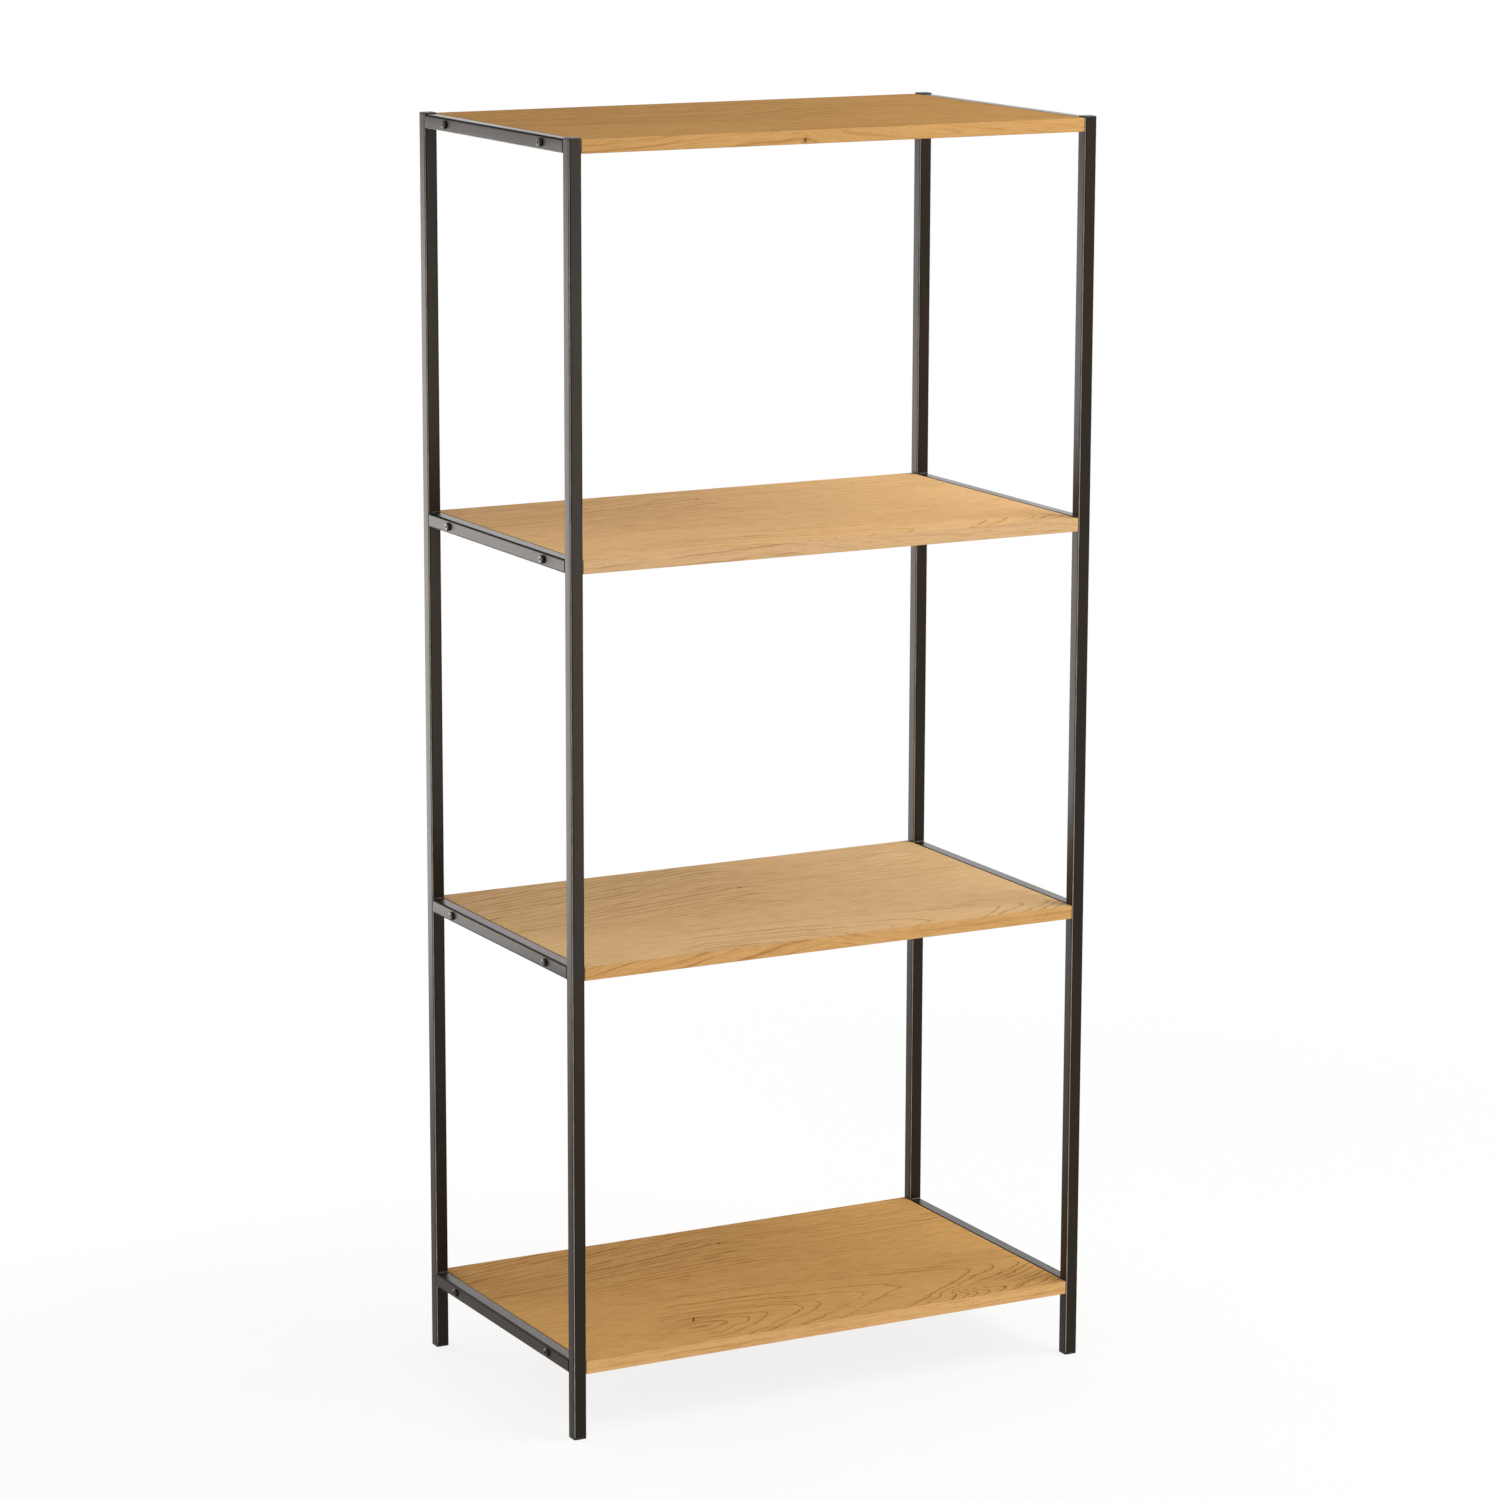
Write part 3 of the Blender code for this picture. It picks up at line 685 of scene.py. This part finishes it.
def screw_mesh(side, length):
    """A screw whose head's underside is at x = 0 and whose head points to the given side."""
    out = -1 if side == "left" else 1
    turn = [2 * math.pi * k / SCREW_STEPS for k in range(SCREW_STEPS)]
    rings = []

    def add_ring(x, radii):
        rings.append([(out * x, r * math.cos(a), r * math.sin(a)) for a, r in zip(turn, radii)])

    def circle(x, radius):
        add_ring(x, [radius] * SCREW_STEPS)

    def hexagon(x, flats):
        add_ring(x, [hexagon_radius(a, flats) for a in turn])

    # From the shank's tip out to the head, and back into the socket.
    circle(-length, SHANK_RADIUS - TIP_CHAMFER)
    circle(-length + TIP_CHAMFER, SHANK_RADIUS)
    for k in range(int(length * THREAD_SHARE / THREAD_PITCH)):
        start = -length + TIP_CHAMFER + k * THREAD_PITCH
        circle(start + THREAD_PITCH * THREAD_ROOT, SHANK_RADIUS - THREAD_DEPTH)
        circle(start + THREAD_PITCH * THREAD_CREST, SHANK_RADIUS)
    circle(-SHANK_NECK, SHANK_RADIUS)
    circle(0.0, SHANK_RADIUS)
    circle(0.0, HEAD_RADIUS - HEAD_EDGE_WIDTH)
    circle(HEAD_EDGE_HEIGHT, HEAD_RADIUS)
    circle(RIM_HEIGHT, HEAD_RADIUS)
    land_radius = hexagon_radius(math.pi / 6, SOCKET_FLATS) + SOCKET_LAND
    for k in range(1, DOME_STEPS + 1):
        lift = math.sin(math.pi / 2 * k / DOME_STEPS)
        inward = 1 - math.cos(math.pi / 2 * k / DOME_STEPS)
        circle(RIM_HEIGHT + (HEAD_HEIGHT - RIM_HEIGHT) * lift,
               HEAD_RADIUS - (HEAD_RADIUS - land_radius) * inward)
    socket_floor = HEAD_HEIGHT - SOCKET_DEPTH
    hexagon(HEAD_HEIGHT, SOCKET_FLATS + SOCKET_FLARE)
    hexagon(HEAD_HEIGHT - SOCKET_FLARE_DEPTH, SOCKET_FLATS)
    hexagon(socket_floor, SOCKET_FLATS)
    circle(socket_floor - DRILL_STEP, SOCKET_FLATS * DRILL_SHARE)

    bm = bmesh.new()
    made = [[bm.verts.new(point) for point in ring] for ring in rings]
    for first, second in zip(made, made[1:]):
        for k in range(SCREW_STEPS):
            m = (k + 1) % SCREW_STEPS
            bm.faces.new((first[k], first[m], second[m], second[k]))
    for end, x in ((made[0], -length), (made[-1], socket_floor - DRILL_DEPTH)):
        middle = bm.verts.new((out * x, 0, 0))
        for k in range(SCREW_STEPS):
            bm.faces.new((end[k], end[(k + 1) % SCREW_STEPS], middle))
    return finish_mesh(bm, f"screw_{side}")


def dress_screws(material):
    """Put a detailed screw in the place of each CAD screw."""
    meshes = {}
    for side in SIDES:
        low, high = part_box(f"screw_top_front_{side}")
        meshes[side] = screw_mesh(side, high.x - low.x - HEAD_HEIGHT)
    for tier in TIERS:
        for end in ENDS:
            for side in SIDES:
                node = f"screw_{tier}_{end}_{side}"
                low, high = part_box(node)
                seat = low.x + HEAD_HEIGHT if side == "left" else high.x - HEAD_HEIGHT
                piece = new_piece(f"button_{node}", meshes[side], material)
                piece.location = (seat, (low.y + high.y) / 2, (low.z + high.z) / 2)
                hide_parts(node)


# Weld beads: rippled fillets over the plain CAD fillets where the rails meet the posts.
BEAD_LEG = 1.75 * MM
BEAD_RIPPLE = 1.3 * MM
BEAD_HOLLOW = 0.30
BEAD_FLATNESS = 1.15
# The leg's share that a bead fills, and how much its ripples and its slow drift change that.
BEAD_FILL = 0.93
RIPPLE_SWELL = 0.055
DRIFT_SWELL = 0.05
DRIFT_TURN = 7.3
# The taper's square is this at a bead's ends, and rises to 1 at this rate.
TAPER_START = 0.25
TAPER_RISE = 14
BEAD_STEPS = 44
BEAD_ARC_STEPS = 6
BEAD_INSET = 2.2 * MM
BEAD_ROOT_DEPTH = 0.1 * MM


def bead_strip(bm, corner, along_y, along_z, x_from, x_to, phase):
    """One bead in the corner at y, z, along x, with its legs in the given directions."""
    rows = []
    for k in range(BEAD_STEPS + 1):
        part = k / BEAD_STEPS
        x = x_from + (x_to - x_from) * part
        # The bead swells with each ripple, drifts slowly in size, and tapers at both ends.
        wave = math.cos(2 * math.pi * (x - x_from) / BEAD_RIPPLE + phase)
        drift = math.sin(part * DRIFT_TURN + phase * 2.1)
        taper = min(1.0, (TAPER_START + min(part, 1 - part) * TAPER_RISE)) ** 0.5
        leg = BEAD_LEG * taper * (BEAD_FILL + RIPPLE_SWELL * wave + DRIFT_SWELL * drift)
        row = [(x, corner[0], corner[1])]
        for j in range(BEAD_ARC_STEPS + 1):
            share = j / BEAD_ARC_STEPS
            hollow = 1 - BEAD_HOLLOW * math.sin(math.pi * share)
            out_y = leg * math.cos(math.pi / 2 * share) ** BEAD_FLATNESS * hollow
            out_z = leg * math.sin(math.pi / 2 * share) ** BEAD_FLATNESS * hollow
            row.append((x, corner[0] + along_y * out_y, corner[1] + along_z * out_z))
        rows.append([bm.verts.new(point) for point in row])
    count = BEAD_ARC_STEPS + 2
    for first, second in zip(rows, rows[1:]):
        for j in range(count):
            m = (j + 1) % count
            bm.faces.new((first[j], first[m], second[m], second[j]))
    bm.faces.new(rows[0])
    bm.faces.new(rows[-1])


def dress_welds(material):
    """One piece of beads for each side frame: under every rail, and over all but the top one."""
    for side in SIDES:
        bm = bmesh.new()
        post_low, post_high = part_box(f"post_front_{side}")
        ends = (post_low.x + BEAD_INSET, post_high.x - BEAD_INSET)
        for number, tier in enumerate(TIERS):
            rail_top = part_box(f"board_{tier}")[1].z
            rail_bottom = rail_top - (post_high.x - post_low.x)
            for way in (1, -1):
                y = (post_high.y - BEAD_ROOT_DEPTH) * way
                # Each bead starts its ripples at a place of its own.
                phase = number * 1.7 + way * 0.8 + (2.3 if side == "left" else 0.4)
                bead_strip(bm, (y, rail_bottom + BEAD_ROOT_DEPTH), way, -1, *ends, phase)
                if tier != "top":
                    bead_strip(bm, (y, rail_top - BEAD_ROOT_DEPTH), way, 1, *ends, phase + 1.1)
        mesh = finish_mesh(bm, f"weld_beads_{side}")
        new_piece(f"weld_beads_{side}", mesh, material)


# Studio: a pale floor that runs into a white surround, and soft lamps.
WHITE = (1, 1, 1, 1)
WORLD_LEVEL = 0.5
FLOOR_RADIUS = 40.0
FLOOR_STEPS = 96
# How much of the floor's look is plain white near the object, and from where to where it fades
# into white all over.
FLOOR_GLOW = 0.84
SHADOW_REACH = (0.9, 1.9)


def sees_background(graph):
    """1 for rays that show a white background, straight or in gloss and glass, and 0 for plain light."""
    path = graph.node("ShaderNodeLightPath")
    straight, in_gloss, through_glass = (
        Value(graph, path.outputs[name])
        for name in ("Is Camera Ray", "Is Glossy Ray", "Is Transmission Ray")
    )
    return graph.clamped(straight + in_gloss + through_glass)


def make_world():
    """White where it is seen, and a plain level of light for the rest."""
    world = bpy.data.worlds.new("studio")
    bpy.context.scene.world = world
    world.use_nodes = True
    world.node_tree.nodes.clear()
    graph = Graph(world.node_tree)
    background = graph.node("ShaderNodeBackground")
    graph.put(WHITE, background.inputs["Color"])
    graph.put(graph.choose(sees_background(graph), WORLD_LEVEL, 1.0), background.inputs["Strength"])
    output = graph.node("ShaderNodeOutputWorld")
    graph.put(background.outputs[0], output.inputs["Surface"])


def floor_material():
    """Matt pale floor, mixed with white for rays that show the background."""
    material = bpy.data.materials.new("pale_floor")
    material.use_nodes = True
    material.node_tree.nodes.clear()
    graph = Graph(material.node_tree)
    place = graph.coordinates("Object")
    speckle = graph.noise(place, scale=60.0, detail=3)
    matt = graph.node("ShaderNodeBsdfDiffuse")
    graph.put(graph.tint(speckle, srgb(244, 243, 242), srgb(248, 248, 247)), matt.inputs["Color"])
    glow = graph.node("ShaderNodeEmission")
    graph.put(WHITE, glow.inputs["Color"])
    graph.put(1.0, glow.inputs["Strength"])
    x, y, z = graph.split(place)
    away = graph.smooth((x * x + y * y) ** 0.5, *SHADOW_REACH)
    blend = graph.node("ShaderNodeMixShader")
    graph.put(sees_background(graph) * (away * (1 - FLOOR_GLOW) + FLOOR_GLOW), blend.inputs[0])
    graph.put(matt.outputs[0], blend.inputs[1])
    graph.put(glow.outputs[0], blend.inputs[2])
    output = graph.node("ShaderNodeOutputMaterial")
    graph.put(blend.outputs[0], output.inputs["Surface"])
    return material


def make_floor():
    """A round floor, which keeps the object's shadow."""
    bm = bmesh.new()
    bmesh.ops.create_circle(bm, cap_ends=True, radius=FLOOR_RADIUS, segments=FLOOR_STEPS)
    mesh = bpy.data.meshes.new("floor")
    bm.to_mesh(mesh)
    bm.free()
    floor = bpy.data.objects.new("floor", mesh)
    bpy.context.scene.collection.objects.link(floor)
    give_material(floor, floor_material())


def make_lamp(name, place, aim, size, watts, colour=(1, 1, 1), in_gloss_only=False):
    """A rectangular lamp that points at its aim and isn't seen itself."""
    data = bpy.data.lights.new(name, "AREA")
    data.shape = "RECTANGLE"
    data.size, data.size_y = size
    data.energy = watts
    data.color = colour
    lamp = bpy.data.objects.new(name, data)
    lamp.location = place
    lamp.rotation_euler = (Vector(aim) - Vector(place)).to_track_quat("-Z", "Y").to_euler()
    lamp.visible_camera = False
    lamp.visible_diffuse = not in_gloss_only
    bpy.context.scene.collection.objects.link(lamp)


def make_lights():
    """A key light from the right, and weaker lamps that lift the top, the left, the front and the back."""
    warm = (1, 0.965, 0.925)
    make_lamp("key_right", (1.5, -1.5, 2.6), aim=(0, 0, 0.8), size=(1.7, 1.7), watts=45)
    make_lamp("overhead", (1.05, -0.2, 2.7), aim=(0.1, 0, 1.1), size=(1.2, 1.2), watts=11)
    make_lamp("reflector_left", (-0.92, 1.75, 0.60), aim=(-0.1, 0, 0.58), size=(1.14, 1.20),
              watts=24, colour=warm)
    make_lamp("fill_front", (0.27, -1.25, 0.85), aim=(-0.31, 0, 0.85), size=(0.22, 1.3),
              watts=7, colour=warm, in_gloss_only=True)
    make_lamp("back_right", (1.7, 3.3, 1.8), aim=(0, 0, 0.9), size=(2.6, 1.6), watts=18)


def dress_nodes(coat, plastic, steel, zinc):
    """Give every CAD node its material and soft shading."""
    decor = make_decor_group()
    shading = make_shading_group()
    by_first_word = {"post": coat, "rail": coat, "top": plastic, "foot": plastic,
                     "screw": steel, "insert": zinc}
    for name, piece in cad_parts.items():
        first, second = name.split("_")[:2]
        shade_softly(piece, shading)
        if first == "board":
            give_material(piece, oak_material(second, decor))
        else:
            give_material(piece, by_first_word[first])


def main():
    bpy.context.scene.view_settings.view_transform = "Standard"
    make_camera()
    make_world()
    make_floor()
    make_lights()

    coat = coat_material()
    steel = screw_material()
    dress_nodes(coat, plastic_material(), steel, zinc_material())
    dress_screws(steel)
    dress_welds(coat)


main()
